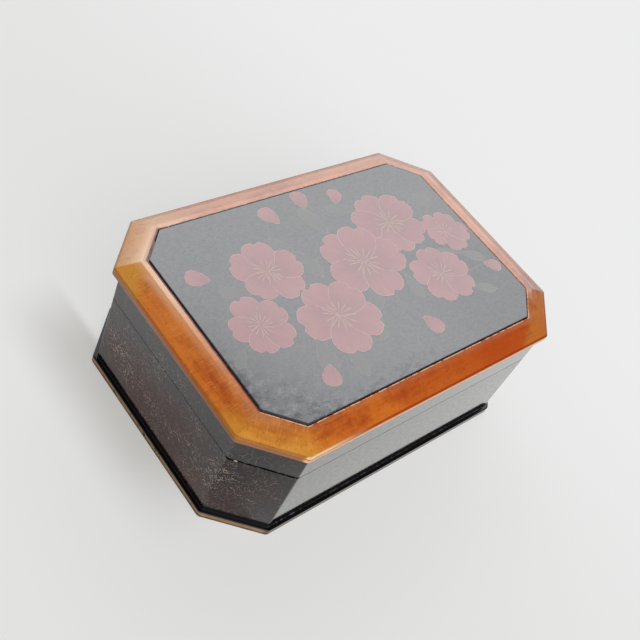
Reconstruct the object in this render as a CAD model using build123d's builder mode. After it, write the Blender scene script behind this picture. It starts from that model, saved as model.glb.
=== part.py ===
"""An eight-sided lacquered wooden box with a lid that lifts off.

The plan is a rectangle with its four corners cut off at 45 degrees. Eight upright boards
of one thickness meet in mitres. The box was joined up closed and the lid sawn off, so
the walls and the lid's skirt lie in one plane on each side. A thin liner stands inside
the walls, and its top edge rises past the seam to locate the lid. A mitred frame of a
sloping moulding closes the lid, stands out past the skirt all round, and holds a raised
panel by a tongue. The foot is a base plate with a rounded edge, and a flat-topped bead
that stands on it round the walls.

The origin is on the surface the box stands on, under its middle: +X runs to the
right along the front, +Y to the back, and +Z is up. Sizes are in millimetres.
"""

import os
from math import sqrt

from build123d import *

os.makedirs("parts", exist_ok=True)

# Plan, measured over the lid frame's outer edge
frame_length = 300
frame_width = 204
corner_leg = 32.8

# Boards of the walls and the lid's skirt
wall_thickness = 7
seam_height = 70.6
skirt_height = 24.7
seam_ease = 0.5

# Base plate and the floor that stands on it inside the walls
base_thickness = 3.2
base_round = 2.2
floor_thickness = 5
floor_rebate = 3.5
board_clearance = 0.2

# Bead round the foot, and how far foot and bead stand out from the walls
bead_height = 3.8
bead_round = 0.6
foot_projection = 2.9
foot_corner_round = 5

# Liner inside the walls, and its edge above the seam
liner_thickness = 3
liner_rise = 6
liner_round = 1
lid_clearance = 0.4

# Lining board that closes the lid from inside
lining_thickness = 4
lining_rebate = 4

# Moulded frame of the lid, and how far it stands out past the walls
long_rail_width = 17.4
end_rail_width = 21
corner_rail_width = 18.9
long_overhang = 2.5
end_overhang = 4.9
corner_overhang = 4.7
frame_edge_height = 4
frame_slope_rise = 6.2
frame_corner_round = 3
slope_crown = 0.45
ring_share = 0.24
ring_round = 5

# Raised panel and the rebate that holds its tongue
panel_rise = 0.6
panel_gap = 1
panel_round = 1.4
tongue_width = 5
tongue_thickness = 4
tongue_clearance = 0.3

# Heights that follow
floor_top = base_thickness + floor_thickness
bead_top = base_thickness + bead_height
liner_top = seam_height + liner_rise
frame_foot = seam_height + skirt_height
lining_foot = frame_foot - lining_thickness
tongue_top = frame_foot + tongue_thickness
edge_top = frame_foot + frame_edge_height
ring_height = edge_top + frame_slope_rise
panel_top = ring_height + panel_rise

side_names = [
    "front",
    "front_right",
    "right",
    "back_right",
    "back",
    "back_left",
    "left",
    "front_left",
]
rail_widths = [long_rail_width, corner_rail_width, end_rail_width, corner_rail_width] * 2


def octagon(long_inset, end_inset, corner_inset):
    """Corners of the plan at these insets, from the front side's left end, anticlockwise."""
    half_length = frame_length / 2 - end_inset
    half_width = frame_width / 2 - long_inset
    leg = corner_leg - long_inset - end_inset + sqrt(2) * corner_inset
    x_corner = half_length - leg
    y_corner = half_width - leg
    return [
        (-x_corner, -half_width),
        (x_corner, -half_width),
        (half_length, -y_corner),
        (half_length, y_corner),
        (x_corner, half_width),
        (-x_corner, half_width),
        (-half_length, y_corner),
        (-half_length, -y_corner),
    ]


def wall_octagon(depth):
    """Corners of the box's plan, this deep behind the walls' outer faces."""
    return octagon(long_overhang + depth, end_overhang + depth, corner_overhang + depth)


def opening_octagon(inset):
    """Corners of the frame's opening, moved inwards by inset on every side."""
    return octagon(long_rail_width + inset, end_rail_width + inset, corner_rail_width + inset)


frame_corners = octagon(0, 0, 0)
opening_corners = opening_octagon(0)
wall_corners = wall_octagon(0)
wall_inner_corners = wall_octagon(wall_thickness)
foot_corners = wall_octagon(-foot_projection)


def section_plane(side, corners):
    """A plane across one side: x is the depth behind the side's line, y the height."""
    start = Vector(*corners[side])
    end = Vector(*corners[(side + 1) % 8])
    along = (end - start).normalized()
    inwards = Vector(-along.Y, along.X)
    return Plane(origin=(start + end) / 2, x_dir=inwards, z_dir=along)


def mitre_planes(side, outer_corners, inner_corners):
    """Upright planes through both ends of a side, each facing its middle."""
    start = Vector(*outer_corners[side])
    end = Vector(*outer_corners[(side + 1) % 8])
    start_cut = Vector(*inner_corners[side]) - start
    end_cut = Vector(*inner_corners[(side + 1) % 8]) - end
    return [
        Plane(origin=start, z_dir=Vector(start_cut.Y, -start_cut.X)),
        Plane(origin=end, z_dir=Vector(-end_cut.Y, end_cut.X)),
    ]


def run_and_mitre(side, outer_corners, inner_corners):
    """Run the pending section along its side and cut both ends to their mitres."""
    extrude(amount=frame_length / 2, both=True)
    for cut in mitre_planes(side, outer_corners, inner_corners):
        split(bisect_by=cut, keep=Keep.TOP)


def round_corners(corners, radius, foot, top):
    """Cut the piece's outer corners back to a plan with rounded corners."""
    with BuildSketch(Plane.XY.offset(foot)) as plan:
        Polygon(*corners, align=None)
        fillet(plan.vertices(), radius=radius)
    extrude(plan.sketch, amount=top - foot, mode=Mode.INTERSECT)


def finish(piece, label):
    """Label a finished piece and write its file."""
    piece.part.label = label
    export_step(piece.part, f"parts/{label}.step")


# Base plate: a board with round corners, its edge rounded down to the surface
with BuildPart() as base_plate:
    with BuildSketch() as base_plan:
        Polygon(*foot_corners, align=None)
        fillet(base_plan.vertices(), radius=foot_corner_round)
    extrude(amount=base_thickness)
    fillet(base_plate.edges().group_by(Axis.Z)[0], radius=base_round)
finish(base_plate, "base_plate")

# Floor board, in a rebate along the foot of the walls
floor_depth = wall_thickness - floor_rebate
with BuildPart() as floor_board:
    with BuildSketch(Plane.XY.offset(base_thickness)):
        Polygon(*wall_octagon(floor_depth + board_clearance), align=None)
    extrude(amount=floor_thickness)
finish(floor_board, "floor_board")

# Walls, rebated for the floor, with the seam's upper outer edge eased
for side, side_name in enumerate(side_names):
    with BuildPart() as wall:
        with BuildSketch(section_plane(side, wall_corners)):
            with BuildLine():
                Polyline(
                    (0, base_thickness),
                    (0, seam_height - seam_ease),
                    (seam_ease, seam_height),
                    (wall_thickness, seam_height),
                    (wall_thickness, floor_top),
                    (floor_depth, floor_top),
                    (floor_depth, base_thickness),
                    close=True,
                )
            make_face()
        run_and_mitre(side, wall_corners, wall_inner_corners)
    finish(wall, f"{side_name}_wall")

# Bead round the foot: a flat-topped moulding on the base plate, its arris rounded
for side, side_name in enumerate(side_names):
    with BuildPart() as bead:
        with BuildSketch(section_plane(side, wall_corners)) as bead_section:
            with BuildLine():
                Polyline(
                    (0, base_thickness),
                    (0, bead_top),
                    (-foot_projection, bead_top),
                    (-foot_projection, base_thickness),
                    close=True,
                )
            make_face()
            arris = bead_section.vertices().sort_by_distance((-foot_projection, bead_top))[0]
            fillet(arris, radius=bead_round)
        run_and_mitre(side, wall_corners, wall_inner_corners)
        round_corners(foot_corners, foot_corner_round, base_thickness, bead_top)
    finish(bead, f"{side_name}_bead")

# Liner inside the walls: set back above the seam, so that the lid lifts straight off
lip_outer = wall_thickness + lid_clearance
lip_inner = wall_thickness + liner_thickness
for side, side_name in enumerate(side_names):
    with BuildPart() as liner:
        with BuildSketch(section_plane(side, wall_corners)) as liner_section:
            with BuildLine():
                Polyline(
                    (wall_thickness, floor_top),
                    (wall_thickness, seam_height),
                    (lip_outer, seam_height),
                    (lip_outer, liner_top),
                    (lip_inner, liner_top),
                    (lip_inner, floor_top),
                    close=True,
                )
            make_face()
            fillet(liner_section.vertices().group_by(Axis.Y)[-1], radius=liner_round)
        run_and_mitre(side, wall_corners, wall_inner_corners)
    finish(liner, f"{side_name}_liner")

# Skirt of the lid, in the plane of the walls, rebated for the lining board
lining_depth = wall_thickness - lining_rebate
for side, side_name in enumerate(side_names):
    with BuildPart() as skirt:
        with BuildSketch(section_plane(side, wall_corners)):
            with BuildLine():
                Polyline(
                    (seam_ease, seam_height),
                    (0, seam_height + seam_ease),
                    (0, frame_foot),
                    (lining_depth, frame_foot),
                    (lining_depth, lining_foot),
                    (wall_thickness, lining_foot),
                    (wall_thickness, seam_height),
                    close=True,
                )
            make_face()
        run_and_mitre(side, wall_corners, wall_inner_corners)
    finish(skirt, f"{side_name}_skirt")

# Lining board, let into the skirt flush with its top
with BuildPart() as lid_lining:
    with BuildSketch(Plane.XY.offset(lining_foot)):
        Polygon(*wall_octagon(lining_depth + board_clearance), align=None)
    extrude(amount=lining_thickness)
finish(lid_lining, "lid_lining")

# Frame rails: an upright edge, a crowned slope rounding over to a flat ring, and a
# rebate below for the panel's tongue. The section is stretched to each rail's width,
# so that rails of unlike width still meet line to line at the mitres.
for side, side_name in enumerate(side_names):
    rail_width = rail_widths[side]
    ring_start = (rail_width * (1 - ring_share), ring_height)
    with BuildPart() as frame_rail:
        with BuildSketch(section_plane(side, frame_corners)) as rail_section:
            with BuildLine():
                edge = Line((0, frame_foot), (0, edge_top))
                slope = SagittaArc(edge @ 1, ring_start, slope_crown)
                Polyline(
                    slope @ 1,
                    (rail_width, ring_height),
                    (rail_width, tongue_top),
                    (rail_width - tongue_width, tongue_top),
                    (rail_width - tongue_width, frame_foot),
                    edge @ 0,
                )
            make_face()
            shoulder = rail_section.vertices().sort_by_distance(ring_start)[0]
            fillet(shoulder, radius=ring_round)
        run_and_mitre(side, frame_corners, opening_corners)
        round_corners(frame_corners, frame_corner_round, frame_foot, ring_height)
    finish(frame_rail, f"{side_name}_frame_rail")

# Raised panel: a tongue under the frame and a field with a rounded edge
with BuildPart() as lid_panel:
    with BuildSketch(Plane.XY.offset(frame_foot)):
        Polygon(*opening_octagon(tongue_clearance - tongue_width), align=None)
    extrude(amount=tongue_thickness)
    with BuildSketch(Plane.XY.offset(frame_foot)):
        Polygon(*opening_octagon(panel_gap), align=None)
    extrude(amount=panel_top - frame_foot)
    fillet(lid_panel.edges().group_by(Axis.Z)[-1], radius=panel_round)
finish(lid_panel, "lid_panel")
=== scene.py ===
# %% [markdown]
# # An eight-sided lacquer box with a painted lid
#
# The box is a rectangle with its corners cut off. Black boards stand on a narrow ledge of
# a foot, an amber frame runs round the lid, and the frame holds a black panel with painted
# blossoms. A measured model of it already exists, with one solid for each board. This
# lesson loads that model and dresses it: each board gets a finer mesh with worn edges, and
# each lacquer gets a finish built from nodes.

# %% Load the measured model
from math import atan2, cos, exp, pi, radians, sin, sqrt, tan

import bmesh
import bpy
from mathutils import Matrix, Vector


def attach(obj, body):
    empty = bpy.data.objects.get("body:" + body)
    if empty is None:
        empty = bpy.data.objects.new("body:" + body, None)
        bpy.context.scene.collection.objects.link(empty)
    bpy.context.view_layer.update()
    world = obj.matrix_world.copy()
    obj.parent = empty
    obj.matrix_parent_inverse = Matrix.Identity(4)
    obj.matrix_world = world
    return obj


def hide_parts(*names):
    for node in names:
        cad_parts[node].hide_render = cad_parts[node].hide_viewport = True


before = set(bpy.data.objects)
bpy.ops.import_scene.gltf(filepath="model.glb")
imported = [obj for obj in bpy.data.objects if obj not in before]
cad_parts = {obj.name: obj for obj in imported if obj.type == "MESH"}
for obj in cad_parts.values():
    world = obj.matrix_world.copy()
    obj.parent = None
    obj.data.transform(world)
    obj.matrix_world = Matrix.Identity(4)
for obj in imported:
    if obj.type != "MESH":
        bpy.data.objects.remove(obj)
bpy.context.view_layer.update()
mm = 0.001

# %% [markdown]
# ## The camera
#
# The photograph looks down on the box over its front left corner, and the camera was
# turned in the hand, so the box lies askew in the picture. Such a camera could be aimed
# with a Track To constraint, but that keeps it upright. Here its three axes are written
# down as measured, which also gives the turn: right, down and forward make its matrix.

# %% Camera
camera_right = Vector((0.73784, -0.58833, 0.33084))
camera_down = Vector((-0.30034, -0.72512, -0.61968))
camera_forward = camera_right.cross(camera_down)
camera_place = Vector((-0.42553, -0.24516, 0.54914))

lens = bpy.data.cameras.new("camera")
lens.sensor_width = 36
lens.lens = 53.47
lens.clip_start = 0.01
lens.clip_end = 100
camera = bpy.data.objects.new("camera", lens)
bpy.context.scene.collection.objects.link(camera)
turn = Matrix((camera_right, -camera_down, -camera_forward)).transposed()
camera.matrix_world = Matrix.Translation(camera_place) @ turn.to_4x4()
bpy.context.scene.camera = camera
bpy.context.scene.view_settings.view_transform = "Standard"
print("camera looks along", [round(part, 3) for part in camera_forward])

# %% [markdown]
# ## Node trees as arithmetic
#
# A finish is a tree of nodes, and a long one is hard to read as a list of links. The class
# below wraps one output socket. Adding or multiplying two of them adds the Math node that
# does it, so a mask can be written as a formula. Every other node comes from `node`.


# %% A socket that understands arithmetic
class Wire:
    """An output of a node tree, on which arithmetic adds Math nodes."""

    def __init__(self, tree, socket=None):
        self.tree = tree
        self.socket = socket

    def node(self, kind, settings=None, inputs=None, output=0):
        """Add a node: first its settings, then the values or wires of its inputs."""
        made = self.tree.nodes.new(kind)
        for name, value in (settings or {}).items():
            setattr(made, name, value)
        for name, value in (inputs or {}).items():
            if isinstance(value, Wire):
                self.tree.links.new(value.socket, made.inputs[name])
            else:
                made.inputs[name].default_value = value
        return Wire(self.tree, made.outputs[output] if made.outputs else None)

    def math(self, operation, *values):
        """A Math node on these values."""
        return self.node("ShaderNodeMath", {"operation": operation}, dict(enumerate(values)))

    def __add__(self, other):
        return self.math("ADD", self, other)

    __radd__ = __add__

    def __mul__(self, other):
        return self.math("MULTIPLY", self, other)

    __rmul__ = __mul__

    def __sub__(self, other):
        return self.math("SUBTRACT", self, other)

    def __rsub__(self, other):
        return self.math("SUBTRACT", other, self)

    def __neg__(self):
        return 0 - self

    def __truediv__(self, other):
        return self.math("DIVIDE", self, other)

    def __pow__(self, other):
        return self.math("POWER", self, other)

    def __abs__(self):
        return self.math("ABSOLUTE", self)


# %% Short names for the nodes that every finish uses
def ramp(value, low, high):
    """0 where value is at low, 1 at high, with soft ends."""
    return value.node(
        "ShaderNodeMapRange",
        {"interpolation_type": "SMOOTHSTEP"},
        {"Value": value, "From Min": low, "From Max": high},
    )


def noise(place, scale, detail=2.0, roughness=0.5):
    """Cloudy noise around 0.5; scale is how many clouds there are in a metre."""
    inputs = {"Vector": place, "Scale": scale, "Detail": detail, "Roughness": roughness}
    return place.node("ShaderNodeTexNoise", inputs=inputs)


def vector_math(operation, *vectors, output="Vector"):
    """A Vector Math node, of which the first vector is a wire."""
    operands = dict(enumerate(vectors))
    return vectors[0].node("ShaderNodeVectorMath", {"operation": operation}, operands, output)


def stretch(place, factors, shift=(0, 0, 0)):
    """Coordinates multiplied by factors and moved, to draw a pattern out."""
    return vector_math("MULTIPLY_ADD", place, factors, shift)


def moved(place, *shift):
    """Coordinates moved, so that two patterns of one kind don't agree."""
    return stretch(place, (1, 1, 1), shift)


def length_of(vector):
    """How long a vector is."""
    return vector_math("LENGTH", vector, output="Value")


def part_of(vector, axis):
    """One coordinate of a vector: 0, 1 or 2."""
    return vector.node("ShaderNodeSeparateXYZ", inputs={0: vector}, output=axis)


def map_of(place, name):
    """One of the piece's own UV maps."""
    return place.node("ShaderNodeUVMap", {"uv_map": name})


# %% Colours, relief and the two ends of a finish
def mix(under, over, mask):
    """One colour laid over another where the mask is 1."""
    colours = {
        name: colour if isinstance(colour, Wire) else (*colour, 1)
        for name, colour in ((6, under), (7, over))
    }
    return mask.node(
        "ShaderNodeMix",
        {"data_type": "RGBA", "clamp_factor": True},
        {0: mask, **colours},
        output=2,
    )


def glazed(ground, *layers):
    """A ground colour under layers, each a colour and the mask where it covers."""
    for colour, mask in layers:
        ground = mix(ground, colour, mask)
    return ground


def relief(height, depth):
    """A normal that follows a height from 0 to 1, for a relief of this depth."""
    inputs = {"Height": height, "Distance": depth, "Strength": 1.0}
    return height.node("ShaderNodeBump", inputs=inputs)


def start_finish(name):
    """An empty material, and its Object coordinates, in metres."""
    finish = bpy.data.materials.new(name)
    finish.use_nodes = True
    finish.node_tree.nodes.clear()
    return finish, Wire(finish.node_tree).node("ShaderNodeTexCoord", output="Object")


def end_finish(finish, place, inputs):
    """Close a material with a Principled shader that has these inputs."""
    skin = place.node("ShaderNodeBsdfPrincipled", inputs=inputs)
    place.node("ShaderNodeOutputMaterial", inputs={"Surface": skin})
    print(finish.name, len(finish.node_tree.nodes), "nodes")


# %% [markdown]
# ## The light
#
# The photograph was taken beside a window in a pale room. The window lies behind the box
# to the right, and glossy lacquer shows the wall beside it as a soft grey veil. A ring of
# lamps could do this, but a lacquer mirrors the whole room, so the room itself is made: a
# world whose brightness depends on the direction.


# %% Parts of the room
def towards(azimuth, elevation):
    """The direction at an azimuth from +X towards +Y and an elevation, in degrees."""
    round_z, up = radians(azimuth), radians(elevation)
    return cos(up) * cos(round_z), cos(up) * sin(round_z), sin(up)


room = bpy.data.worlds.new("pale_room")
bpy.context.scene.world = room
room.use_nodes = True
room.node_tree.nodes.clear()
sight = Wire(room.node_tree).node("ShaderNodeTexCoord", output="Generated")


def glow(azimuth, elevation, sharpness):
    """1 in one direction, fading with the angle from it, faster for a higher sharpness."""
    facing = vector_math("DOT_PRODUCT", sight, towards(azimuth, elevation), output="Value")
    return sight.math("MAXIMUM", facing, 0.0) ** sharpness


def bright_wall(azimuth, inner, outer, full, top):
    """A wall of light round an azimuth, full up to one elevation and gone at another."""
    level = vector_math("NORMALIZE", stretch(sight, (1, 1, 0)))
    facing = vector_math("DOT_PRODUCT", level, towards(azimuth, 0), output="Value")
    spread = ramp(facing, cos(radians(outer)), cos(radians(inner)))
    rise = part_of(sight, 2)
    brighter_above = 0.5 + 0.5 * ramp(rise, 0.3, 0.78)
    return spread * brighter_above * ramp(rise, sin(radians(top)), sin(radians(full)))


# %% The room
dim = 0.15
near_side = 3.4 * glow(azimuth=-115, elevation=30, sharpness=6)
window_side = 2.3 * bright_wall(azimuth=48, inner=30, outer=50, full=48, top=58)
brightness = dim + near_side + window_side
seen = sight.node("ShaderNodeLightPath", output="Is Camera Ray")
brightness = brightness * (1 - seen) + seen
painted_arris_highlight = sight.node(
    "ShaderNodeBackground", inputs={"Color": (0.97, 0.985, 1.0, 1), "Strength": brightness}
)
sight.node("ShaderNodeOutputWorld", inputs={"Surface": painted_arris_highlight})
print("room:", len(room.node_tree.nodes), "nodes")

# %% [markdown]
# ## The table
#
# The box stands on a white table, with a painted shadow that greys it in the lee of its left
# end. More light would make the table as pale as it is there, but would bleach the lacquers
# too. So a part of its tone is emission that only some rays see, and Light Path tells them
# apart: those of the camera, and those that the gloss of the front sends down to the table
# before it. That emission is painted light as well: it grows brighter towards the right, and
# before the front it puts a painted reflection in the front wall.

# %% The table
table_paint, place = start_finish("white_table")
x, y = part_of(place, 0), part_of(place, 1)
# painted shadow: the table is greyer left of the box, in its lee
painted_shadow = ramp(x, -0.20, -0.150) * (1 - ramp(x, -0.14, -0.13))
painted_shadow = painted_shadow * ramp(y, -0.09, 0.0) * (1 - ramp(y, 0.08, 0.16))
white = mix((0.73, 0.73, 0.72), (0.76, 0.76, 0.75), noise(place, 4))
# painted light: the table's glow grows brighter towards the right, the window side
pale_with_painted_light = mix((0.89, 0.885, 0.875), (1.0, 1.0, 0.995), ramp(x, -0.1, 0.35))
bounced = place.node(
    "ShaderNodeBsdfDiffuse", inputs={"Color": mix(white, (0.54, 0.53, 0.51), painted_shadow)}
)
paleness = place.node(
    "ShaderNodeEmission",
    inputs={"Color": mix(pale_with_painted_light, (0.66, 0.65, 0.625), painted_shadow), "Strength": 1.0},
)
looked_at = place.node("ShaderNodeLightPath", output="Is Camera Ray")
mirrored = place.node("ShaderNodeLightPath", output="Is Glossy Ray")
# painted reflection: before the front the table glows for glossy rays too, so the front wall
# mirrors a brighter table
painted_glow_before_front = ramp(x, -0.160, -0.105) * ramp(-y, 0.095, 0.10)
washed = place.node(
    "ShaderNodeMixShader",
    inputs={0: 0.6 * looked_at + 0.8 * mirrored * painted_glow_before_front, 1: bounced, 2: paleness},
)
place.node("ShaderNodeOutputMaterial", inputs={"Surface": washed})
table_size = 12
bpy.ops.mesh.primitive_plane_add(size=table_size)
table = bpy.context.object
table.name = "white_table"
table.data.materials.append(table_paint)
print("table:", table_size, "m wide")

# %% [markdown]
# ## The plan of the box
#
# Every board follows one plan: a rectangle with its corners cut off at 45 degrees, moved
# inwards by a different amount for each board and height. One function gives its eight
# corners, as the measured model has them. The frame stands out past the walls, by less on
# the long sides than elsewhere, so walls and frame each have a function of their own.

# %% Sizes of the plan and the boards
frame_length = 300 * mm
frame_width = 204 * mm
corner_leg = 32.8 * mm
overhangs = (2.5 * mm, 4.9 * mm, 4.7 * mm)
rail_widths = (17.4 * mm, 21 * mm, 18.9 * mm)
wall_thickness = 7 * mm
floor_rebate = 3.5 * mm
lining_rebate = 4 * mm
tongue_width = 5 * mm
tongue_clearance = 0.3 * mm
foot_projection = 2.9 * mm
base_top = 3.2 * mm
ledge_top = 7 * mm
floor_top = 8.2 * mm
seam_height = 70.6 * mm
lining_foot = 91.3 * mm
frame_foot = 95.3 * mm
edge_top = 99.3 * mm
ring_height = 105.5 * mm
panel_top = 106.1 * mm

side_names = "front front_right right back_right back back_left left front_left".split()


def octagon(long_inset, end_inset, corner_inset):
    """The plan's corners at these insets, from the front side's left end, anticlockwise."""
    half_length = frame_length / 2 - end_inset
    half_width = frame_width / 2 - long_inset
    leg = corner_leg - long_inset - end_inset + sqrt(2) * corner_inset
    x, y = half_length - leg, half_width - leg
    first_half = [(-x, -half_width), (x, -half_width), (half_length, -y), (half_length, y)]
    return [Vector(corner) * turned for turned in (1, -1) for corner in first_half]


def walls_at(depth):
    """Corners this deep behind the walls' outer faces."""
    return octagon(*(overhang + depth for overhang in overhangs))


def opening_at(inset):
    """Corners of the frame's opening, moved inwards."""
    return octagon(*(width + inset for width in rail_widths))


def rails_at(share):
    """Corners at a share of the way across the frame's rails, whatever their widths."""
    return octagon(*(width * share for width in rail_widths))


# %% [markdown]
# ## Boards with soft arrises
#
# A board of the box is one section run along its side and cut at both ends by a mitre. A
# Bevel modifier could soften it, but neighbouring boards would then part at the mitre. So
# the rounding is built in: near a corner of the plan, each board's surface follows half of
# a small arc, and its neighbour follows the other half. Lacquer over such a corner looks
# like one skin.

# %% One side of the plan, with half an arc at each end
arc_turns = [radians(turn) for turn in (22.5, 17, 11, 5.5, 0)]
arc_support = 0.6 * mm


def side_points(side, corners, rounds, between):
    """Points along a side, from the middle of one rounded corner to that of the next."""
    after = (side + 1) % 8
    along = (corners[after] - corners[side]).normalized()
    inwards = Vector((-along.y, along.x))
    near_start = []
    near_end = []
    for turn in arc_turns:
        for points, corner, way, radius in (
            (near_start, corners[side], along, rounds[side]),
            (near_end, corners[after], -along, rounds[after]),
        ):
            reach = radius * (tan(arc_turns[0]) - sin(turn))
            points.append(corner + way * reach + inwards * radius * (1 - cos(turn)))
    near_start.append(near_start[-1] + along * arc_support)
    near_end.append(near_end[-1] - along * arc_support)
    gaps = between + 1
    middle = [near_start[-1].lerp(near_end[-1], step / gaps) for step in range(1, gaps)]
    return near_start + middle + near_end[::-1]


# %% A section with rounded corners
def rounded(corners, steps=4, support=0.5 * mm):
    """Points of a closed section. Each corner is (inset, height, radius, softness).

    Softness is the share of the plan's corner rounds that a board gets at that point.
    """
    points = []
    for index, (inset, height, radius, softness) in enumerate(corners):
        here = Vector((inset, height))
        if radius == 0:
            points.append((inset, height, softness))
            continue
        back = Vector(corners[index - 1][:2]) - here
        ahead = Vector(corners[(index + 1) % len(corners)][:2]) - here
        half = back.angle(ahead) / 2
        reach = radius / tan(half)
        to_back, to_ahead = back.normalized(), ahead.normalized()
        first = here + to_back * reach
        last = here + to_ahead * reach
        centre = here + (to_back + to_ahead).normalized() * radius / sin(half)
        opening = atan2(first.y - centre.y, first.x - centre.x)
        closing = atan2(last.y - centre.y, last.x - centre.x)
        sweep = (closing - opening + pi) % (2 * pi) - pi
        arc = []
        for step in range(steps + 1):
            turn = opening + sweep * step / steps
            arc.append(centre + radius * Vector((cos(turn), sin(turn))))
        arc.insert(0, first + to_back * min(support, 0.3 * (back.length - reach)))
        arc.append(last + to_ahead * min(support, 0.3 * (ahead.length - reach)))
        points += [(point.x, point.y, softness) for point in arc]
    return points


# %% From rows of points to a piece
def skin(rows, closed_rows=False, closed_columns=False):
    """Faces between rows of points, capped at both ends of the way that stays open."""
    high = len(rows)
    wide = len(rows[0])
    points = [point for row in rows for point in row]
    faces = []
    for row in range(high if closed_rows else high - 1):
        here, above = row * wide, (row + 1) % high * wide
        for column in range(wide if closed_columns else wide - 1):
            beside = (column + 1) % wide
            faces.append((here + column, here + beside, above + beside, above + column))
    if closed_rows:
        faces.append(tuple(row * wide for row in range(high)))
        faces.append(tuple(row * wide + wide - 1 for row in range(high)))
    if closed_columns:
        faces.append(tuple(range(wide)))
        faces.append(tuple((high - 1) * wide + column for column in range(wide)))
    return points, faces


def enter(name, mesh, body, nodes):
    """Put a finished mesh in the scene, on the body it rides on, in place of the solids it
    replaces.
    """
    piece = bpy.data.objects.new(name, mesh)
    bpy.context.scene.collection.objects.link(piece)
    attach(piece, body)
    if nodes:
        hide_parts(*nodes)


sharp_from = radians(32)


def make_mesh(name, points, faces, finish=None, maps=None):
    """A closed mesh with its faces outwards, its maps, its finish and smooth shading."""
    mesh = bpy.data.meshes.new(name)
    mesh.from_pydata([tuple(point) for point in points], [], faces)
    for map_name, values in (maps or {}).items():
        layer = mesh.uv_layers.new(name=map_name)
        for loop in mesh.loops:
            layer.data[loop.index].uv = values[loop.vertex_index]
    shell = bmesh.new()
    shell.from_mesh(mesh)
    bmesh.ops.recalc_face_normals(shell, faces=shell.faces)
    volume = shell.calc_volume()
    shell.to_mesh(mesh)
    shell.free()
    if volume <= 0:
        print("inside out:", name, volume)
    if finish:
        mesh.materials.append(finish)
    mesh.shade_smooth()
    mesh.set_sharp_from_angle(angle=sharp_from)
    return mesh


# %% Mitred lengths
map_spacing = 0.7


def mitred_length(side, section, corners_at, corner_rounds):
    """Run a section along a side, with half-rounded corners at both mitres.

    Its map "run" holds metres along the side and round the section. Each side's begins
    map_spacing further on, so that no two share a pattern. Its map "section" holds the
    inset and height of each point.
    """
    rows, run_map, section_map = [], [], []
    travel = 0
    before = None
    for inset, height, softness in section:
        corners = corners_at(inset)
        rounds = [softness * radius for radius in corner_rounds]
        line = side_points(side, corners, rounds, between=6)
        rows.append([Vector((*point, height)) for point in line])
        here = Vector((*line[len(line) // 2], height))
        travel += (here - before).length if before else 0
        before = here
        along = (corners[(side + 1) % 8] - corners[side]).normalized()
        run_map += [(point.dot(along) + side * map_spacing, travel) for point in line]
        section_map += [(inset, height)] * len(line)
    points, faces = skin(rows, closed_rows=True)
    return points, faces, {"run": run_map, "section": section_map}


def run_round(part, section, corners_at, corner_rounds, finish, body):
    """The eight lengths of one moulding or board, each replacing its own node."""
    for side, side_name in enumerate(side_names):
        points, faces, maps = mitred_length(side, section, corners_at, corner_rounds)
        name = f"{side_name}_{part}_lacquered"
        mesh = make_mesh(name, points, faces, finish, maps)
        enter(name, mesh, body, [f"{side_name}_{part}"])
    print(part, "8 lengths of", len(points), "points, section of", len(section))


# %% [markdown]
# ## The walls' lacquer
#
# Black lacquer is never flat black. A net of fine gold hairlines covers the left end of
# this box and thins out to the right, the black turns rusty low on that end, and the cut
# of the lid shows as a worn dark line. The hairlines could be curves laid on the boards,
# but there are thousands. A Voronoi pattern is lighter: it cuts the surface into cells,
# and each cell draws one short arc, turned, bent and lit by random numbers of its own.


# %% Fine curved hairs
def hairs(run, cells, seed, width, share):
    """Short arcs on a share of the cells, of which so many go to a metre.

    A hair's width, radius and reach are in cells.
    """
    spread = stretch(run, (cells, cells, 0), (seed, seed * 0.7, 0))
    centre = spread.node(
        "ShaderNodeTexVoronoi",
        {"voronoi_dimensions": "2D"},
        {"Vector": spread, "Scale": 1.0},
        output=2,
    )
    dice = centre.node(
        "ShaderNodeTexWhiteNoise", {"noise_dimensions": "2D"}, {"Vector": centre}, output=1
    )
    turn = part_of(dice, 0) * (2 * pi)
    radius = 0.35 + part_of(dice, 1)
    rank = part_of(dice, 2)
    away = vector_math("SUBTRACT", spread, centre)
    x = part_of(away, 0) - radius * turn.math("COSINE", turn)
    y = part_of(away, 1) - radius * turn.math("SINE", turn)
    off = abs((x * x + y * y) ** 0.5 - radius)
    line = 1 - ramp(off, width * 0.3, width)
    ends = 1 - ramp(length_of(away), 0.4, 0.6)
    chosen = rank.math("LESS_THAN", rank, share)
    bright = 1 - rank * (0.75 / share)
    return line * ends * chosen * bright


# %% Gold hairlines and rust of the walls
wall_lacquer, place = start_finish("wall_lacquer")
x, y = part_of(place, 0), part_of(place, 1)
run = map_of(place, "run")
height = part_of(map_of(place, "section"), 1)
sway = run.node("ShaderNodeTexNoise", inputs={"Vector": run, "Scale": 150}, output=1)
bent = vector_math("MULTIPLY_ADD", sway, (1.3 * mm, 1.3 * mm, 0), run)
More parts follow.
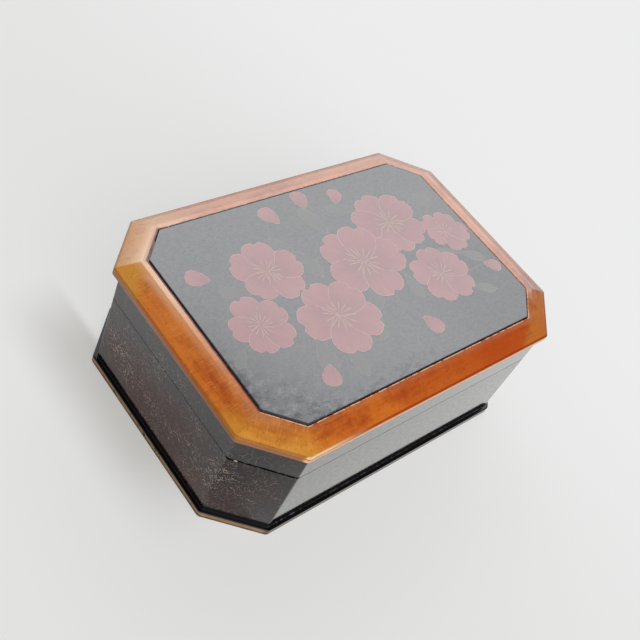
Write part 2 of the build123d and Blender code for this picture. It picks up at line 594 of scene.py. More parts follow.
# Each net has its cells in a metre, seed, width of a hair and share of cells with one.
nets = [
    hairs(bent, *net)
    for net in (
        (260, 0.0, 0.05, 0.45),
        (360, 5.3, 0.065, 0.45),
        (190, 9.1, 0.034, 0.3),
        (480, 7.7, 0.085, 0.45),
    )
]
tracks = nets[0]
for net in nets[1:]:
    tracks = tracks.math("MAXIMUM", tracks, net)
at_left = 1 - ramp(x, -0.145, -0.1)
low = 1 - ramp(height, 0.035, 0.085)
clear_of_foot = ramp(height, 9.5 * mm, 12 * mm)
crowd = ramp(noise(moved(place, 2, 5, 1), 24, 3, 0.6), 0.42, 0.6)
amount = (0.5 + 0.5 * crowd) * (0.5 + 0.5 * low) * (0.1 + 0.9 * at_left)
hairlines = 1.35 * tracks * amount * clear_of_foot
tone = noise(moved(place, 2, 2, 2), 60, 3)
gold = mix((0.26, 0.165, 0.12), (0.54, 0.41, 0.28), ramp(tone, 0.42, 0.6))
rusty = (0.25 + 0.75 * ramp(noise(place, 16, 3), 0.42, 0.62)) * low * at_left * clear_of_foot
ground = mix((0.004, 0.0035, 0.0035), (0.050, 0.014, 0.011), rusty)
print("hairlines:", len(nets), "nets")

# %% Cut of the lid, and a chip beside it
diagonal = -x - y
at_front_left = ramp(diagonal, 0.2105, 0.212)
on_front = ramp(-y, 0.095, 0.098)
frayed = at_front_left * ramp(noise(place, 300, 2), 0.3, 0.5)
cut_width = 0.2 * mm + 0.7 * mm * frayed
darkest = on_front * ramp(-x, 0.03, 0.08)
dark = 0.1 + 0.9 * darkest.math("MAXIMUM", darkest, ramp(diagonal, 0.18, 0.21))
cut = (1 - ramp(abs(height - seam_height), cut_width, cut_width + 0.2 * mm)) * dark
cut_tone = (0.0015, 0.0015, 0.0015)
chip_middle = (-0.1413, -0.0713, 0.0701)
chip_shape = (260, 260, 700)
chip_way = stretch(place, chip_shape, [-at * by for at, by in zip(chip_middle, chip_shape)])
chip = 1 - ramp(length_of(chip_way), 0.25, 0.45)
bare_wood = (0.55, 0.43, 0.33)
surface = glazed(ground, (gold, hairlines), (cut_tone, cut), (bare_wood, chip))

# %% Gloss of the walls
rubbing = ramp(noise(stretch(run, (240, 620, 1)), 1.0, 5, 0.7), 0.36, 0.66)
on_skirt = ramp(height, seam_height, seam_height + 0.2 * mm)
spared = on_skirt * (0.3 + 0.5 * ramp(x, 0.0, 0.08))
dulled = rubbing * (0.30 + 0.15 * on_front) * (1 - spared)
faded = at_front_left * (0.62 - 0.6 * ramp(height, 69.5 * mm, 71.5 * mm))
end_finish(wall_lacquer, place, {
    "Base Color": surface,
    "Metallic": cut,
    "Roughness": 0.10 + 0.08 * noise(place, 40, 3) + 0.2 * hairlines + 0.5 * cut,
    "Normal": relief(noise(place, 260, 3), 0.01 * mm),
    "IOR": 1.5,
    "Coat Weight": (1 - faded - 0.46 * rusty) * (1 - cut) * (1 - dulled),
    "Coat IOR": 1.5,
    "Coat Roughness": 0.05,
})

# %% [markdown]
# ## The foot's lacquers
#
# The foot takes the knocks. Its ledge is glossy black on top, with dust and a painted
# highlight in the corner beside the walls, and worn to tan on its upright side. The base
# plate's edge is worn brown all round, less so along the front. Wear could be painted by
# hand on an image. A height from the section map does it here, and noise breaks up its line.


# %% Black lacquer for the ledge, worn to tan on its upright side
def foot_front(place):
    """1 on the front side of the foot, without its left corner."""
    return ramp(-part_of(place, 1), 0.092, 0.097) * ramp(part_of(place, 0), -0.1175, -0.1145)


bead_lacquer, place = start_finish("bead_lacquer")
section = map_of(place, "section")
height = part_of(section, 1)
front = foot_front(place)
rub = noise(place, 260, 4, 0.6)
# noise that breaks the painted highlight line into dashes
dashes = ramp(noise(moved(place, 7, 0, 0), 330, 3, 0.6), 0.5, 0.62)
on_ledge = ramp(height, ledge_top - 0.3 * mm, ledge_top - 0.1 * mm)
in_corner = ramp(part_of(section, 0), -0.8 * mm, -0.3 * mm) * on_ledge
stronger_left = 0.3 + 0.7 * ramp(-part_of(place, 0), 0.07, 0.11)
# painted highlight, partly dust: a pale blue-grey line where the ledge meets the walls, stronger
# on the left
dust_and_highlight = in_corner * (0.08 + 0.9 * front * stronger_left * dashes)
upright = 1 - ramp(height, ledge_top - 0.8 * mm, ledge_top - 0.4 * mm)
worn = upright * ramp(rub, 0.3, 0.45) * (1 - 0.75 * front)
tan_wood = mix((0.16, 0.085, 0.035), (0.42, 0.27, 0.13), rub)
end_finish(bead_lacquer, place, {
    "Base Color": glazed((0.002, 0.002, 0.0025), ((0.24, 0.25, 0.29), dust_and_highlight), (tan_wood, worn)),
    "Roughness": 0.1 + 0.3 * worn + 0.4 * dust_and_highlight,
    "IOR": 1.45,
})

# %% Worn brown, for the base plate's edge
base_lacquer, place = start_finish("base_lacquer")
rub = ramp(noise(place, 260, 4, 0.6), 0.3, 0.62)
shown = rub * (1 - 0.7 * foot_front(place))
end_finish(base_lacquer, place, {
    "Base Color": mix((0.04, 0.018, 0.008), (0.17, 0.085, 0.032), shown),
    "Roughness": 0.42 + 0.15 * rub,
    "IOR": 1.45,
})

# %% [markdown]
# ## The frame's lacquer
#
# The frame's lacquer is clear amber, so its tone changes along each rail: orange in front,
# golden at the left corners, pale at the back, where the paleness is a painted reflection.
# It has brushed streaks, specks, a dark line at the arris and a worn inner edge, and painted
# reflections and highlights where the lacquer mirrors the room. One ramp over one noise
# would look like plain wood, so it is glazed: a brushed ground, and over it one thin layer
# for each thing that time did to it and for each painted reflection and highlight, with a
# mask that says where.

# %% Ground of the amber
frame_lacquer, place = start_finish("frame_lacquer")
x, y = part_of(place, 0), part_of(place, 1)
run, section = map_of(place, "run"), map_of(place, "section")
# The section's inset is a share of the rail's width here, 0 outside and 1 at the panel.
share, height = part_of(section, 0), part_of(section, 1)
brushed = noise(stretch(run, (34, 300, 1)), 1.0, 6, 0.68)
clouds = noise(place, 26, 4, 0.6)
mottle = noise(place, 210, 4, 0.65)
# The riper the lacquer, the lighter its tone.
ripe = clouds * 0.5 + brushed * 0.35 + mottle * 0.15 + 0.06 * (1 - ramp(share, 0.0, 0.5))
orange = mix((0.40, 0.055, 0.003), (0.70, 0.185, 0.013), ramp(ripe, 0.37, 0.62))
brown = mix((0.27, 0.045, 0.008), (0.56, 0.17, 0.022), ramp(ripe, 0.42, 0.58))
front_left = ramp(-x - y, 0.182, 0.216) * (1 - ramp(x, -0.125, -0.085))
golden = (front_left + ramp(y - x, 0.180, 0.200)) * (0.5 + 0.5 * ramp(ripe, 0.35, 0.6))
warm = glazed(
    orange,
    ((0.70, 0.31, 0.03), golden * 0.85),
    ((0.47, 0.06, 0.001), ramp(x, -0.10, 0.08) * ramp(-y, 0.08, 0.09) * 0.85),
    (brown, ramp(x - y, 0.186, 0.196) * 0.8),
)
print("ground of the amber:", len(frame_lacquer.node_tree.nodes), "nodes")

# %% Strokes, specks, scratches and a painted reflection near the back left corner
strokes = ramp(noise(stretch(run, (950, 110, 1), (3, 9, 0)), 1.0, 4, 0.6), 0.52, 0.75)
specks = ramp(noise(place, 620, 3, 0.6), 0.60, 0.68)
scratches = ramp(noise(stretch(run, (240, 90, 1)), 1.0, 4, 0.7), 0.5, 0.66)
scratches = ramp(y - x, 0.205, 0.21) * scratches * ramp(share, 0.2, 0.4)
at_back_left = ramp(y, 0.0, 0.06) * (1 - ramp(y + x, -0.085, -0.08))
warm = glazed(
    warm,
    ((0.92, 0.40, 0.10), 0.5 * strokes * ramp(-x, 0.09, 0.11)),
    ((0.20, 0.03, 0.004), 0.45 * specks),
    ((0.30, 0.07, 0.03), 0.6 * scratches),
    # painted reflection: near the back left corner the ring is paled as if it mirrored the
    # bright room
    ((0.72, 0.42, 0.25), 0.6 * ramp(share, 0.45, 0.74) * at_back_left),
)

# %% Upright edge and arris, with a painted reflection and a painted highlight
front = ramp(-y, 0.0985, 0.1005)
# painted reflection: the upright edge is pale along the front, as if it mirrored the white table
foot_tone_with_painted_reflection = mix((0.34, 0.145, 0.07), (0.80, 0.44, 0.25), front)
near_arris = ramp(height, edge_top - 1.4 * mm, edge_top - 0.3 * mm)
upright_tone = mix((0.22, 0.06, 0.02), foot_tone_with_painted_reflection, 1 - near_arris)
upright = 1 - ramp(height, edge_top - 0.5 * mm, edge_top - 0.2 * mm)
arris = 1 - ramp(abs(height - edge_top - 0.3 * mm), 0.2 * mm, 0.7 * mm)
arris_tone = mix((0.14, 0.03, 0.008), (0.28, 0.03, 0.002), front)
# painted highlight: a cream line on the arris near the front left corner
painted_arris_highlight = arris * ramp(-x, 0.06, 0.112) * ramp(-y, 0.099, 0.1005)
warm = glazed(
    warm,
    (upright_tone, upright),
    (arris_tone, arris * (0.5 + 0.3 * front)),
    ((0.85, 0.62, 0.36), painted_arris_highlight),
)

# %% Inner half and inner edge
on_left = ramp(y - x, 0.02, 0.06) * ramp(-x, 0.07, 0.1)
on_back = ramp(y, 0.066, 0.072) * (1 - ramp(y - x, 0.187, 0.191))
inner_front = ramp(-y, 0.062, 0.066)
# painted reflection: the inner half of the left rail is paled, more towards the back, as if it
# mirrored the bright room
painted_reflection_left = ramp(share, 0.48, 0.76) * on_left * (0.18 + 0.37 * ramp(y, -0.05, 0.05))
patchy = ramp(noise(moved(place, 4, 0, 0), 150, 3), 0.36, 0.52)
patchy = patchy.math("MAXIMUM", patchy, 0.85 * on_left) * (0.7 + 0.3 * on_left)
chewed = 0.06 * ramp(y - x, 0.19, 0.2) * noise(place, 500, 3) + 0.012 * on_left
worn = ramp(share + chewed, 0.95, 0.965) * patchy * (1 - on_back) * (1 - inner_front)
# browner near the inner edge at the back left corner
browner_back_left = ramp(y - x, 0.190, 0.196) * ramp(share + 0.1 * brushed, 0.87, 0.95)
ragged = ramp(share + 0.4 * noise(place, 210, 5, 0.7), 1.145, 1.16) * on_back
# worn gilt on the front rail's inner arris, brightened as a painted highlight
rubbed_gilt_and_highlight = ramp(share, 0.945, 0.96) * inner_front * ramp(mottle, 0.42, 0.5)
warm = glazed(
    warm,
    ((0.82, 0.46, 0.22), painted_reflection_left),
    ((0.16, 0.03, 0.012), worn),
    ((0.34, 0.13, 0.09), 0.6 * browner_back_left),
    ((0.03, 0.02, 0.022), 0.9 * ragged),
    ((0.80, 0.50, 0.30), rubbed_gilt_and_highlight),
)

# %% Painted reflection and gloss of the far side
far = ramp(y, -0.08, 0.05) + ramp(x, 0.12, 0.135) * ramp(y, -0.09, -0.06)
far = far.math("MINIMUM", far, 1.0) * (0.88 + 0.12 * ramp(clouds, 0.4, 0.6))
# painted reflection: the back rails and back right corner are paled towards pink, as if they
# mirrored the bright room
painted_reflection_far = 0.22 * ramp(y + 0.5 * x, 0.0, 0.06) + 0.15 * ramp(x + y, 0.18, 0.2)
end_finish(frame_lacquer, place, {
    "Base Color": mix(warm, (0.72, 0.36, 0.20), painted_reflection_far),
    "Roughness": 0.24 + 0.14 * brushed + 0.25 * (1 - far),
    "Normal": relief(brushed + mottle, 0.03 * mm),
    "IOR": 1.3,
    "Coat Weight": (0.05 + 0.95 * far) * (1 - 0.8 * worn) * (1 - 0.7 * upright),
    "Coat IOR": 1.95,
    "Coat Roughness": 0.1,
})

# %% [markdown]
# ## The panel's lacquer, and the inside
#
# The panel is polished black that mirrors the room as a grey veil. Hands have smudged it
# near the front and the left, where the veil breaks up and pale, milky patches show. The
# black can't get much darker, so dark patches in the base colour would be lost. The coat
# makes them: where it is weaker, the panel mirrors less. The inside is a plain dark red.

# %% Deep gloss black, for the panel
clear_gloss = {"IOR": 1.5, "Coat IOR": 1.85, "Coat Roughness": 0.14}
panel_lacquer, place = start_finish("panel_lacquer")
x, y = part_of(place, 0), part_of(place, 1)
by_corner = ramp(-x - y, 0.135, 0.190)
by_left = ramp(-x, 0.117, 0.128) * ramp(-y, -0.02, 0.05)
by_front = ramp(-y, 0.066, 0.084) * (1 - ramp(x, -0.02, 0.06))
handled = ramp(noise(stretch(place, (1, 1.6, 1)), 120, 6, 0.75), 0.42, 0.70)
fine = ramp(noise(stretch(place, (1, 1.5, 1)), 420, 3, 0.6), 0.35, 0.7)
smudge = handled * (by_corner + by_left + by_front) + 0.28 * fine
smudge = smudge + 0.25 * ramp(x, 0.0, 0.1) * ramp(-y, -0.04, 0.03)
smudge = smudge.math("MINIMUM", smudge, 1.0)
black = mix((0.015, 0.013, 0.018), (0.026, 0.023, 0.030), noise(moved(place, 3, 1, 0), 14, 4))
milky = ramp(noise(stretch(place, (1, 1.4, 1), (7, 2, 0)), 130, 5, 0.7), 0.47, 0.66)
milky = milky * ramp(-x - y, 0.135, 0.175)
# The last millimetre before the front left edge is rubbed dull and stays black.
dull_rim = ramp(-x - y, 0.1900, 0.1905)
end_finish(panel_lacquer, place, {
    "Base Color": mix(black, (0.24, 0.25, 0.27), 0.5 * milky * (1 - dull_rim)),
    "Roughness": 0.16 + 0.08 * noise(place, 30, 3) + 0.5 * dull_rim,
    "Normal": relief(noise(place, 160, 2), 0.01 * mm),
    "Coat Weight": (1 - 0.55 * smudge) * (1 - 0.9 * dull_rim),
    **clear_gloss,
})

# %% Dark red satin lacquer, for the inside
inside_lacquer, place = start_finish("inside_lacquer")
end_finish(inside_lacquer, place, {
    "Base Color": mix((0.16, 0.012, 0.008), (0.24, 0.022, 0.012), noise(place, 35, 4)),
    "Roughness": 0.34 + 0.1 * noise(place, 60, 3),
    "Normal": relief(noise(stretch(place, (1, 8, 8)), 60, 3), 0.03 * mm),
    "Coat Weight": 0.25,
    "Coat Roughness": 0.25,
})

# %% [markdown]
# ## Foot, walls and skirt
#
# The walls and the lid's skirt were one board before the lid was sawn off, so both keep
# the same plane and the same soft arrises. Only the eased edges beside the cut show it.
# The foot is a base plate with a bead on it, and stands out past them as a narrow ledge.
# Each could be a scaled cube with its corners cut, but a section and a plan say the sizes
# once, and all eight sides follow them.

# %% A board that follows the whole plan, and the base plate
quarter_turn = [radians(turn) for turn in range(0, 91, 15)]


def board(node, loops, corners_at, corner_rounds, finish, body):
    """A flat board: closed loops of the plan, each with its inset, height and softness."""
    rows = []
    for inset, height, softness in loops:
        corners = corners_at(inset)
        rounds = [softness * radius for radius in corner_rounds]
        ring = []
        for side in range(8):
            ring += side_points(side, corners, rounds, between=2)[:-1]
        rows.append([Vector((*point, height)) for point in ring])
    points, faces = skin(rows, closed_columns=True)
    name = f"{node}_lacquered"
    print(name, len(points), "points")
    enter(name, make_mesh(name, points, faces, finish), body, [node])


foot_rounds = [radius * mm for radius in (3, 5, 4.5, 4.5, 4.5, 4.5, 4, 4)]
base_round = 2.2 * mm
base_loops = [
    (base_round * (1 - sin(turn)) - foot_projection, base_round * (1 - cos(turn)), 1)
    for turn in quarter_turn
]
base_loops += [(-foot_projection, base_top, 1), (0, base_top, 1)]
board("base_plate", base_loops, walls_at, foot_rounds, base_lacquer, "box")

# %% Bead of the foot
bead_section = rounded([
    (0, base_top, 0, 0.2),
    (0, ledge_top, 0, 0.6),
    (-foot_projection, ledge_top, 0.6 * mm, 1),
    (-foot_projection, base_top, 0.15 * mm, 1),
])
run_round("bead", bead_section, walls_at, foot_rounds, bead_lacquer, "box")

# %% Walls and skirt
arris_rounds = [radius * mm for radius in (1.2, 2, 1.8, 1.8, 1.8, 1.8, 1.8, 1.8)]
seam_ease = 0.28 * mm
wall_section = rounded([
    (0, base_top, 0, 1),
    (0, seam_height - seam_ease, 0.1 * mm, 1),
    (seam_ease, seam_height, 0.05 * mm, 1),
    (wall_thickness, seam_height, 0.2 * mm, 0.1),
    (wall_thickness, floor_top, 0, 0.1),
    (wall_thickness - floor_rebate, floor_top, 0, 0.1),
    (wall_thickness - floor_rebate, base_top, 0, 0.1),
])
run_round("wall", wall_section, walls_at, arris_rounds, wall_lacquer, "box")

skirt_section = rounded([
    (seam_ease, seam_height, 0.05 * mm, 1),
    (0, seam_height + seam_ease, 0.1 * mm, 1),
    (0, frame_foot, 0, 1),
    (wall_thickness - lining_rebate, frame_foot, 0, 0.1),
    (wall_thickness - lining_rebate, lining_foot, 0, 0.1),
    (wall_thickness, lining_foot, 0, 0.1),
    (wall_thickness, seam_height, 0.2 * mm, 0.1),
])
run_round("skirt", skirt_section, walls_at, arris_rounds, wall_lacquer, "lid")

# %% [markdown]
# ## The amber frame
#
# The rail has an upright edge, a slope that bulges a little, and a flat ring beside the
# panel. Rails of three widths meet at the mitres. Three sections would need their lines
# matched one by one. So one section is drawn, for a rail 19 mm wide, and its insets are
# turned into shares of the width, which fit every rail.

# %% Frame rails
drawn_width = 19 * mm
ring_share = 0.24
ring_start = drawn_width * (1 - ring_share)
ring_fall = 0.1 * mm
slope_crown = 0.45 * mm
slope_steps = 9
slope = Vector((ring_start, ring_height - ring_fall - edge_top))
bulge = Vector((-slope.y, slope.x)).normalized() * slope_crown
slope_points = []
for step in range(1, slope_steps):
    way = step / slope_steps
    point = Vector((0, edge_top)) + slope * way + bulge * 4 * way * (1 - way)
    slope_points.append((point.x, point.y, 0, 1.2))
rail_section = rounded([
    (0, frame_foot, 0.3 * mm, 1),
    (0, edge_top, 0.7 * mm, 1),
    *slope_points,
    (ring_start, ring_height - ring_fall, 5 * mm, 1),
    (drawn_width, ring_height, 0.25 * mm, 0.4),
    (drawn_width, edge_top, 0, 0.2),
    (drawn_width - tongue_width, edge_top, 0, 0.1),
    (drawn_width - tongue_width, frame_foot, 0, 0.1),
])
rail_shares = [(inset / drawn_width, *others) for inset, *others in rail_section]
frame_rounds = [radius * mm for radius in (2.6, 3, 3, 2.6, 2.4, 2.2, 2.4, 2.4)]
run_round(
    "frame_rail", rail_shares, rails_at, frame_rounds, frame_lacquer, "lid"
)

# %% [markdown]
# ## The panel
#
# The panel is one board with a tongue under the frame. Its edge is rounded, and a narrow
# gap keeps it clear of the frame. It could be a flat face with a painted line for the gap,
# but a real gap darkens by itself, from every side. The field lies a tenth of a millimetre
# lower than the measured panel's, which leaves room for the paint.

# %% Panel board
paint_depth = 0.12 * mm
field_top = panel_top - paint_depth
panel_gap = 0.6 * mm
panel_round = 0.6 * mm
tongue_inset = tongue_clearance - tongue_width
panel_loops = [
    (tongue_inset, frame_foot, 0.5),
    (tongue_inset, edge_top, 0.5),
    (panel_gap, edge_top, 0.5),
]
panel_loops += [
    (panel_gap + panel_round * (1 - cos(turn)), field_top - panel_round * (1 - sin(turn)), 1)
    for turn in quarter_turn
]
beside_round = panel_gap + panel_round + 0.8 * mm
well_inside = 12 * mm
panel_loops += [(beside_round, field_top, 1), (well_inside, field_top, 1)]
panel_rounds = [1.5 * mm] * 8
board("lid_panel", panel_loops, opening_at, panel_rounds, panel_lacquer, "lid")

# %% [markdown]
# ## Blossoms on a branch
#
# The painting is a branch with five-petalled blossoms in dusty rose, each petal drawn with
# a thin pale line. Every petal, leaf and bud is one small plate. A petal could be modelled
# forty times by hand. Geometry Nodes do it better: one petal, a few points that say where
# the blossoms are, and a tree that lays the copies round each point.


# %% One painted plate
def painted_shape(name, widest, tip=1.0, notch=0.0, rim=0.955, foot=0.0):
    """A thin plate from its foot to its tip at y = 1, wider or narrower towards the tip.

    Its map "stroke" holds how far out to the rim a point is, and how far along the shape.
    """
    count = 32
    rings = (1.0, rim, 0.72, 0.4)
    notch_width = 0.07
    middle_share = 0.58
    outline = []
    for step in range(count):
        turn = 2 * pi * step / count
        along = (1 - cos(turn)) / 2
        half = widest * sin(turn) * (0.55 + 0.75 * along) * (1 - along**6) ** (tip - 1)
        dent = notch * exp(-((half / notch_width) ** 2)) * along**8
        outline.append(Vector((half, foot + (1 - foot) * (along - dent))))
    middle = Vector((0, foot + (1 - foot) * middle_share))
    top = [(share, middle.lerp(corner, share)) for share in rings for corner in outline]
    top.append((0, middle))
    points = [(*point, 0) for _, point in top] + [(*corner, -paint_depth) for corner in outline]
    marks = [(share, point.y) for share, point in top] + [(1.0, corner.y) for corner in outline]
    last = count * (len(rings) - 1)
    sunk = len(top)
    faces = []
    for low in range(0, last, count):
        for step in range(count):
            ahead = (step + 1) % count
            faces.append((low + step, low + ahead, low + count + ahead, low + count + step))
    for step in range(count):
        faces.append((last + step, last + (step + 1) % count, last + count))
    for step in range(count):
        ahead = (step + 1) % count
        faces.append((step, sunk + step, sunk + ahead, ahead))
    faces.append(tuple(range(sunk, sunk + count)))
    plan = [point[:2] for point in points]
    mesh = make_mesh(name, points, faces, maps={"stroke": marks, "plan": plan})
    return bpy.data.objects.new(name, mesh)


# %% Inputs of a tree that lays copies of a shape round points
lay_tree = bpy.data.node_groups.new("lay_shapes_round_points", "GeometryNodeTree")
for label, kind in (
    ("Points", "NodeSocketGeometry"),
    ("Shape", "NodeSocketObject"),
    ("Copies", "NodeSocketInt"),
    ("Unevenness", "NodeSocketFloat"),
    ("Step up", "NodeSocketFloat"),
    ("Seed", "NodeSocketInt"),
    ("Finish", "NodeSocketMaterial"),
):
    lay_tree.interface.new_socket(label, in_out="INPUT", socket_type=kind)
lay_tree.interface.new_socket("Painted", in_out="OUTPUT", socket_type="NodeSocketGeometry")


def asked(label):
    """One of the tree's inputs."""
    return Wire(lay_tree).node("NodeGroupInput", output=label)


def chance(low, high, copy, shift):
    """A random number for each copy."""
    return copy.node(
        "FunctionNodeRandomValue",
        {"data_type": "FLOAT"},
        {2: low, 3: high, 7: copy, 8: asked("Seed") + shift},
        output=1,
    )


# %% Nodes of that tree
dots = asked("Points").node("GeometryNodeMeshToPoints", inputs={"Mesh": asked("Points")})
copied = dots.tree.nodes.new("GeometryNodeDuplicateElements")
copied.domain = "POINT"
lay_tree.links.new(dots.socket, copied.inputs["Geometry"])
lay_tree.links.new(asked("Copies").socket, copied.inputs["Amount"])
turn_index = Wire(lay_tree, copied.outputs["Duplicate Index"])
copy_index = turn_index.node("GeometryNodeInputIndex")
rise = turn_index.node("ShaderNodeCombineXYZ", inputs={2: turn_index * asked("Step up")})
lifted = turn_index.node(
    "GeometryNodeSetPosition",
    inputs={"Geometry": Wire(lay_tree, copied.outputs["Geometry"]), "Offset": rise},
)
faced, grown = (
    turn_index.node("GeometryNodeInputNamedAttribute", {"data_type": "FLOAT"}, {"Name": label})
    for label in ("turn", "size")
)
sway = chance(-1.0, 1.0, copy_index, 0) * asked("Unevenness")
swell = 1 + chance(-0.5, 0.5, copy_index, 11) * asked("Unevenness")
angle = faced + (2 * pi) * turn_index / asked("Copies") + sway
shape = turn_index.node(
    "GeometryNodeObjectInfo", inputs={"Object": asked("Shape")}, output="Geometry"
)
size = grown * swell
laid = turn_index.node(
    "GeometryNodeInstanceOnPoints",
    inputs={
        "Points": lifted,
        "Instance": shape,
        "Rotation": turn_index.node("ShaderNodeCombineXYZ", inputs={2: angle}),
        "Scale": turn_index.node("ShaderNodeCombineXYZ", inputs={0: size, 1: size, 2: 1.0}),
    },
)
toned = turn_index.node(
    "GeometryNodeStoreNamedAttribute",
    {"data_type": "FLOAT", "domain": "INSTANCE"},
    {"Geometry": laid, "Name": "tone", "Value": chance(0.0, 1.0, copy_index, 23)},
)
real = turn_index.node("GeometryNodeRealizeInstances", inputs={0: toned})
coloured = turn_index.node(
    "GeometryNodeSetMaterial", inputs={"Geometry": real, "Material": asked("Finish")}
)
coloured.node("NodeGroupOutput", inputs={"Painted": coloured})
print("lay_shapes_round_points:", len(lay_tree.nodes), "nodes")

# %% Laying shapes by that tree
# Each copy lies this much higher than the one before, so that overlaps don't flicker.
step_up = 0.0011 * mm


def lay(name, shape, spots, finish, copies, unevenness, seed):
    """Lay copies of a shape at spots, each (x, y, degrees, size in mm, height)."""
    ground = bpy.data.meshes.new(name)
    points = [(x * mm, y * mm, field_top + height) for x, y, _, _, height in spots]
    ground.from_pydata(points, [], [])
    for label, values in (
        ("turn", [radians(spot[2]) for spot in spots]),
        ("size", [spot[3] * mm for spot in spots]),
    ):
        ground.attributes.new(label, "FLOAT", "POINT").data.foreach_set("value", values)
    carrier = bpy.data.objects.new(name, ground)
    bpy.context.scene.collection.objects.link(carrier)
    modifier = carrier.modifiers.new("lay", "NODES")
    modifier.node_group = lay_tree
    asked_for = [item for item in lay_tree.interface.items_tree if item.in_out == "INPUT"]
    sockets = {item.name: item.identifier for item in asked_for}
    for label, value in (
        ("Shape", shape),
        ("Copies", copies),
        ("Unevenness", unevenness),
        ("Step up", step_up),
        ("Seed", seed),
        ("Finish", finish),
    ):
        modifier[sockets[label]] = value
    evaluated = carrier.evaluated_get(bpy.context.evaluated_depsgraph_get())
    mesh = bpy.data.meshes.new_from_object(evaluated)
    bpy.data.objects.remove(carrier)
    mesh.shade_smooth()
    mesh.set_sharp_from_angle(angle=sharp_from)
    print(name, len(mesh.polygons), "faces")
    enter(name, mesh, "lid", [])


# %% [markdown]
# ## Paints
#
# The rose is deeper at a petal's foot and paler at its rim, and no two petals have quite
# the same tone. Strokes of the brush fan out from the foot. A plain noise would be cloudy
# there, so it is read by how far aside a point lies for its way along the petal. All the
# paint lies under the same clear gloss as the black field.


# %% Paints of the petals, leaves and stems
def make_paint(name, deep, light, line, streaks):
    """A paint with streaks along each shape, a pale rim line and a tone for each copy."""
    paint, place = start_finish(name)
    stroke = map_of(place, "stroke")
    tone = place.node("ShaderNodeAttribute", {"attribute_name": "tone"}, output="Fac")
    out, along = part_of(stroke, 0), part_of(stroke, 1)
    fan = part_of(map_of(place, "plan"), 0) / (along + 0.25)
    spread = {0: fan * streaks, 1: along * 1.5, 2: tone * 9}
    rays = place.node("ShaderNodeCombineXYZ", inputs=spread)
    body = ramp(along, 0.0, 1.0) * 0.45 + noise(rays, 1.0, 3) * 0.5
    body = body + tone * 0.2 + noise(place, 90, 3) * 0.2 - 0.15
    rim = ramp(out, 0.952, 0.962) * ramp(noise(place, 220, 2), 0.3, 0.5)
    end_finish(paint, place, {
        "Base Color": glazed(deep, (light, body), (line, rim * 0.85)),
        "Roughness": 0.17 + 0.08 * noise(place, 30, 3),
        "Coat Weight": 1 - 0.16 * noise(place, 420, 3, 0.6),
        **clear_gloss,
    })
    return paint


rose_paint = make_paint(
    "rose_paint", (0.20, 0.034, 0.044), (0.38, 0.105, 0.115), (0.42, 0.21, 0.17), 9
)
leaf_paint = make_paint(
    "leaf_paint", (0.022, 0.022, 0.018), (0.06, 0.055, 0.036), (0.15, 0.13, 0.09), 12
)
stem_paint = make_paint(
    "stem_paint", (0.045, 0.028, 0.02), (0.09, 0.06, 0.04), (0.10, 0.07, 0.05), 4
)
pollen_paint = make_paint(
    "pollen_paint", (0.27, 0.12, 0.075), (0.42, 0.23, 0.15), (0.46, 0.28, 0.18), 3
)

# %% Blossoms, buds and leaves
petal = painted_shape("petal", 0.46, notch=0.09, foot=-0.03)
bud = painted_shape("bud", 0.40)
leaf = painted_shape("leaf", 0.24, tip=1.6)
filament = painted_shape("filament", 0.038, rim=0.8, foot=0.08)

# Each spot is x and y in millimetres, degrees, and size in millimetres.
blossoms = [
    (64, 32, 12, 31), (17, 8, 44, 34), (70, -24, 70, 26), (-33, -24, 20, 31),
    (-58, 26, 58, 27), (-90, -10, 5, 23), (105, 8, 33, 20),
]
blossom_spots = [(*spot, (0.045 + 0.007 * order) * mm) for order, spot in enumerate(blossoms)]
lay("blossoms", petal, blossom_spots, rose_paint, copies=5, unevenness=0.12, seed=4)
over_petals = 0.0052 * mm
hearts = [
    (x, y, turn + 20, size * 0.4, height + over_petals)
    for x, y, turn, size, height in blossom_spots
]
lay("filaments", filament, hearts, pollen_paint, copies=14, unevenness=0.1, seed=8)

buds = [
    (-22, 60, 20, 18), (6, 66, -12, 17), (34, 62, -30, 15), (-100, 34, 60, 17),
    (-66, -54, 150, 17), (26, -50, 200, 17), (112, -30, 240, 15),
]
bud_spots = [(*spot, 0.04 * mm) for spot in buds]
lay("buds", bud, bud_spots, rose_paint, copies=1, unevenness=0.0, seed=3)

leaves = [
    (44, 52, 60, 26), (92, 40, -70, 24), (40, -14, 200, 28), (-6, -34, 160, 27),
    (-60, -34, 140, 24), (-80, 14, 80, 25), (-28, 34, 20, 26), (-112, -22, 110, 20),
    (86, -44, 215, 24), (8, 40, -10, 24), (-46, -50, 185, 22), (100, -14, 250, 20),
]
leaf_spots = [(*spot, 0.02 * mm) for spot in leaves]
lay("leaves", leaf, leaf_spots, leaf_paint, copies=2, unevenness=0.5, seed=6)
for pattern in (petal, bud, leaf, filament):
    bpy.data.objects.remove(pattern)


# %% [markdown]
# ## The branch
#
# A stem is a flat ribbon of paint along a smooth path. A curve with a flat bevel would do,
# but a ribbon written point by point can thin out towards its tip, as a brush does. Its
# middle is a cubic between each two points of the path, which passes through all of them.


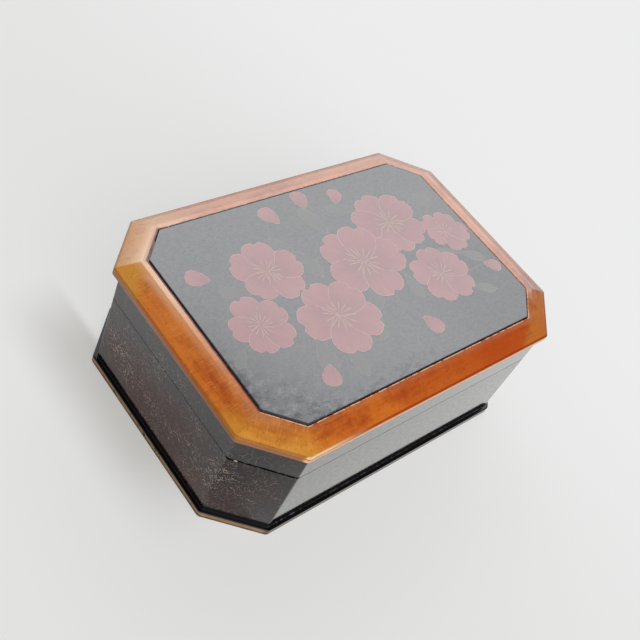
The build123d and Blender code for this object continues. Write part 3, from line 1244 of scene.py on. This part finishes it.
# %% Stems
def stem(name, path, thick, thin, height):
    """A ribbon of paint through these points, its top this high over the field, in mm."""
    route = [Vector(point) * mm for point in path]
    steps = 12
    middle = []
    for index in range(len(route) - 1):
        before = route[max(index - 1, 0)]
        here, ahead = route[index], route[index + 1]
        after = route[min(index + 2, len(route) - 1)]
        for step in range(steps):
            t = step / steps
            bend = (2 * before - 5 * here + 4 * ahead - after) * t**2
            swing = (3 * here - before - 3 * ahead + after) * t**3
            middle.append(0.5 * (2 * here + (ahead - before) * t + bend + swing))
    middle.append(route[-1])
    high = field_top + height * mm
    low = high - paint_depth
    last = len(middle) - 1
    rows = []
    marks = []
    for index, point in enumerate(middle):
        along = (middle[min(index + 1, last)] - middle[max(index - 1, 0)]).normalized()
        across = Vector((-along.y, along.x))
        share = index / last
        pressed = 1 + 0.2 * sin(9 * share + thick)
        half = (thick + (thin - thick) * share) * pressed * mm / 2
        left, right = point + across * half, point - across * half
        rows.append([(*left, high), (*right, high), (*right, low), (*left, low)])
        marks += [(0.5, share)] * 4
    points, faces = skin(rows, closed_columns=True)
    plan = [point[:2] for point in points]
    mesh = make_mesh(name, points, faces, stem_paint, {"stroke": marks, "plan": plan})
    enter(name, mesh, "lid", [])
    print(name, len(faces), "faces")


# Each stem: its width at the foot and at the tip, its height over the field, its path.
stems = {
    "branch": (
        (3.0, 1.2, 0.014),
        [(124, 46), (96, 26), (64, 32), (17, 8), (-33, -24), (-62, -20), (-90, -10), (-118, 8)],
    ),
    "twig_back": ((1.6, 0.8, 0.012), [(40, 22), (22, 38), (8, 52), (6, 66)]),
    "twig_back_left": ((1.2, 0.7, 0.011), [(8, 50), (-8, 54), (-22, 60)]),
    "twig_back_right": ((1.1, 0.7, 0.010), [(22, 40), (30, 52), (34, 62)]),
    "twig_left": ((1.8, 0.8, 0.009), [(-20, -14), (-40, 8), (-58, 26), (-82, 30), (-100, 34)]),
    "twig_front_left": ((1.3, 0.8, 0.008), [(-50, -22), (-56, -38), (-66, -56)]),
    "twig_front": ((1.5, 0.8, 0.007), [(2, -4), (16, -26), (26, -52)]),
    "twig_right": ((1.6, 0.8, 0.006), [(64, 30), (74, 4), (70, -24), (92, -30), (112, -30)]),
    "twig_far_right": ((1.3, 0.9, 0.005), [(92, 26), (100, 16), (105, 8)]),
}
for name, (sizes, path) in stems.items():
    stem(name, path, *sizes)

# %% [markdown]
# ## The inside
#
# The floor, the liner and the lid's lining board are plain boards, so the measured solids
# stay. New meshes would add nothing. They only get their finish.

# %% Inside of the box and the lid
kept_solids = ["floor_board", "lid_lining"] + [f"{side_name}_liner" for side_name in side_names]
for name in kept_solids:
    solid = bpy.data.objects[name]
    solid.data.materials.clear()
    solid.data.materials.append(inside_lacquer)
print("inside:", len(kept_solids), "solids kept")
